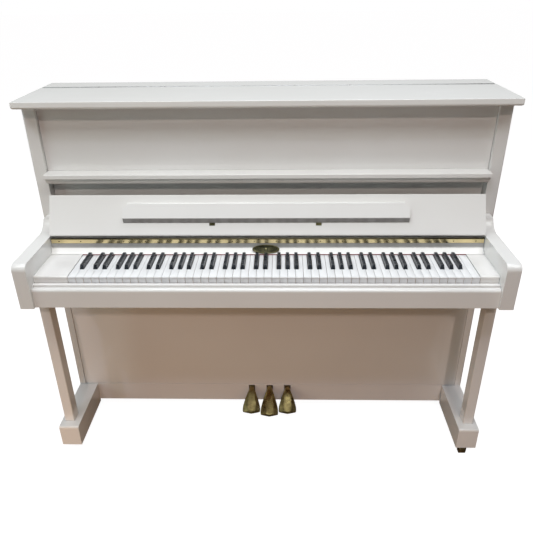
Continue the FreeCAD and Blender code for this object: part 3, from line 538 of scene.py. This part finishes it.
def make_white_keys():
    """Wooden sticks with a moulded cover whose front edge overhangs the key face."""
    cover_low = KEY_TOP - KEY_COVER
    for name in sorted(NODES):
        if SLOT_OF[name] != "white_key":
            continue
        bm = bmesh.new()
        bm.from_mesh(NODES[name].data)
        bmesh.ops.remove_doubles(bm, verts=bm.verts, dist=WELD_GAP)
        parts = bm.verts[:] + bm.edges[:] + bm.faces[:]
        bmesh.ops.bisect_plane(bm, geom=parts, plane_co=(0, 0, cover_low), plane_no=(0, 0, 1))
        lip = [f for f in bm.faces if f.normal.y < -0.9 and f.calc_center_median().z > cover_low
               and f.calc_center_median().y < KEY_FRONT + 0.001]
        grown = bmesh.ops.extrude_face_region(bm, geom=lip)["geom"]
        bmesh.ops.delete(bm, geom=lip, context="FACES_ONLY")
        moved = [v for v in grown if isinstance(v, bmesh.types.BMVert)]
        bmesh.ops.translate(bm, verts=moved, vec=(0, -KEY_LIP, 0))
        for face in bm.faces:
            centre = face.calc_center_median()
            at_front = centre.y < KEY_FRONT + KEY_SLACK
            if centre.z > cover_low or (at_front and centre.z > cover_low - KEY_SLACK):
                face.material_index = 0
            elif at_front:
                face.material_index = 1
            else:
                face.material_index = 2
        looks = ["white_key", "key_front", "key_wood"]
        link_piece("covered_" + name, bm, looks, name, [name], 0.0004, 35)


SCREW_PITCH, SCREW_SPAN, SCREW_Z, LEAF_FACE = 0.070, 1.33, 0.7798, -0.10253
SCREW_PROFILE = [(0, 0.0023), (0.0003, 0.0022), (0.0005, 0.0016), (0.0006, 0.0004)]


def make_hinge_screws():
    """Countersunk screws along the brass leaf under the fallboard."""
    bm = bmesh.new()
    count = int(SCREW_SPAN / SCREW_PITCH) + 1
    for k in range(count):
        x = (k - (count - 1) / 2) * SCREW_PITCH
        lathe(bm, (x, LEAF_FACE, SCREW_Z), (0, -1, 0), SCREW_PROFILE, 16)
    link_piece("fallboard_hinge_screws", bm, ["dark_brass"], "case", [], 0.0, 40)


make_pedals()
make_badge()
make_white_keys()
make_hinge_screws()


# ---------------------------------------------------------------- stage, lights, camera


def make_floor():
    """Pale floor: near white to the eye, a warm board to the light it throws back."""
    mesh = bpy.data.meshes.new("floor")
    half = 30.0
    corners = [(-half, -half, 0), (half, -half, 0), (half, half, 0), (-half, half, 0)]
    mesh.from_pydata(corners, [], [(0, 1, 2, 3)])
    floor = bpy.data.objects.new("floor", mesh)
    bpy.context.collection.objects.link(floor)
    mat, tree, shader = new_material("floor", (0.23, 0.165, 0.118), 0.8)
    seen = node(tree, "ShaderNodeBsdfDiffuse")
    seen.inputs["Color"].default_value = (0.30, 0.30, 0.30, 1)
    glow = node(tree, "ShaderNodeEmission")
    glow.inputs["Color"].default_value = (1, 1, 1, 1)
    glow.inputs["Strength"].default_value = 0.95
    both = node(tree, "ShaderNodeAddShader")
    tree.links.new(seen.outputs[0], both.inputs[0])
    tree.links.new(glow.outputs[0], both.inputs[1])
    path = node(tree, "ShaderNodeLightPath")
    pick = node(tree, "ShaderNodeMixShader")
    tree.links.new(path.outputs["Is Camera Ray"], pick.inputs[0])
    tree.links.new(shader.outputs[0], pick.inputs[1])
    tree.links.new(both.outputs[0], pick.inputs[2])
    tree.links.new(pick.outputs[0], tree.nodes["Material Output"].inputs["Surface"])
    mesh.materials.append(mat)


def make_world(strength):
    """Dim studio air for the light, plain white where the camera looks past the floor."""
    world = bpy.data.worlds.new("studio")
    bpy.context.scene.world = world
    world.use_nodes = True
    tree = world.node_tree
    back = tree.nodes["Background"]
    back.inputs["Color"].default_value = (0.96, 0.98, 1.0, 1)
    back.inputs["Strength"].default_value = strength
    white = node(tree, "ShaderNodeBackground")
    white.inputs["Color"].default_value = (1, 1, 1, 1)
    path = node(tree, "ShaderNodeLightPath")
    pick = node(tree, "ShaderNodeMixShader")
    tree.links.new(path.outputs["Is Camera Ray"], pick.inputs[0])
    tree.links.new(back.outputs[0], pick.inputs[1])
    tree.links.new(white.outputs[0], pick.inputs[2])
    tree.links.new(pick.outputs[0], tree.nodes["World Output"].inputs["Surface"])


def aim(obj, target):
    obj.rotation_mode = "QUATERNION"
    obj.rotation_quaternion = (Vector(target) - obj.location).to_track_quat("-Z", "Y")


def area_light(name, at, target, size, power, color=(1, 1, 1), mirrored=True):
    data = bpy.data.lights.new(name, "AREA")
    data.shape = "RECTANGLE"
    data.size, data.size_y = size
    data.energy = power
    data.color = color
    obj = bpy.data.objects.new(name, data)
    bpy.context.collection.objects.link(obj)
    obj.location = at
    aim(obj, target)
    obj.visible_camera = False
    obj.visible_glossy = mirrored


def sun_light(name, azimuth, elevation, strength, spread, color=(1, 1, 1)):
    """Azimuth 0 shines from the front, 90 from the right."""
    data = bpy.data.lights.new(name, "SUN")
    data.energy = strength
    data.angle = math.radians(spread)
    data.color = color
    obj = bpy.data.objects.new(name, data)
    bpy.context.collection.objects.link(obj)
    a, e = math.radians(azimuth), math.radians(elevation)
    away = 6
    obj.location = Vector((math.sin(a) * math.cos(e), -math.cos(a) * math.cos(e), math.sin(e))) * away
    aim(obj, (0, 0, 0))
    obj.visible_glossy = False


def make_lights():
    """Two small lamps, ceiling panels, a wash from the left, a wall behind and a warm low bounce."""
    make_world(0.03)
    sun_light("front_lamp", 4, 34, 0.50, 2.5, (1.0, 0.80, 0.71))
    sun_light("left_lamp", -29, 54, 0.22, 2.0, (0.76, 0.74, 1.0))
    area_light("ceiling_front", (0, -1.1, 3.2), (0, -0.1, 0.8), (3.6, 1.4), 61, (0.96, 1.0, 0.98))
    area_light("overhead_far", (0, 0.2, 3.4), (0, 0, 1.0), (2.6, 0.5), 24, (0.88, 0.92, 1.0))
    area_light("left_wash", (-3.2, -1.6, 1.6), (0, 0, 0.7), (1.6, 1.8), 20, (0.86, 1.0, 0.95))
    area_light("low_warm", (-0.4, -0.85, 0.05), (-0.2, 0, 0.10), (2.2, 0.08), 1.9, (1.0, 0.54, 0.22),
               mirrored=False)
    area_light("back_wall", (0, 3.0, 1.5), (0, 0, 1.2), (6.0, 2.6), 24, (0.99, 1.0, 0.96))


CAMERA_AT, CAMERA_LENS, CAMERA_SHIFT = (0.05468, -1.79007, 1.51715), 38.84, 0.0543
CAMERA_YAW, CAMERA_PITCH, CAMERA_ROLL = -1.82, 28.97, -0.80


def make_camera():
    """Look down at the piano from where a standing player would be."""
    yaw, pitch, roll = (math.radians(d) for d in (CAMERA_YAW, CAMERA_PITCH, CAMERA_ROLL))
    ahead = Vector((math.sin(yaw) * math.cos(pitch), math.cos(yaw) * math.cos(pitch), -math.sin(pitch)))
    right = ahead.cross(Vector((0, 0, 1))).normalized()
    up = right.cross(ahead)
    turned_right = right * math.cos(roll) + up * math.sin(roll)
    turned_up = up * math.cos(roll) - right * math.sin(roll)
    data = bpy.data.cameras.new("camera")
    data.sensor_width = 36
    data.lens = CAMERA_LENS
    data.shift_y = CAMERA_SHIFT
    data.clip_end = 200
    cam = bpy.data.objects.new("camera", data)
    bpy.context.collection.objects.link(cam)
    turn = Matrix((turned_right, turned_up, -ahead)).transposed().to_4x4()
    cam.matrix_world = Matrix.Translation(CAMERA_AT) @ turn
    bpy.context.scene.camera = cam


make_floor()
make_lights()
make_camera()
bpy.context.scene.view_settings.view_transform = "Standard"
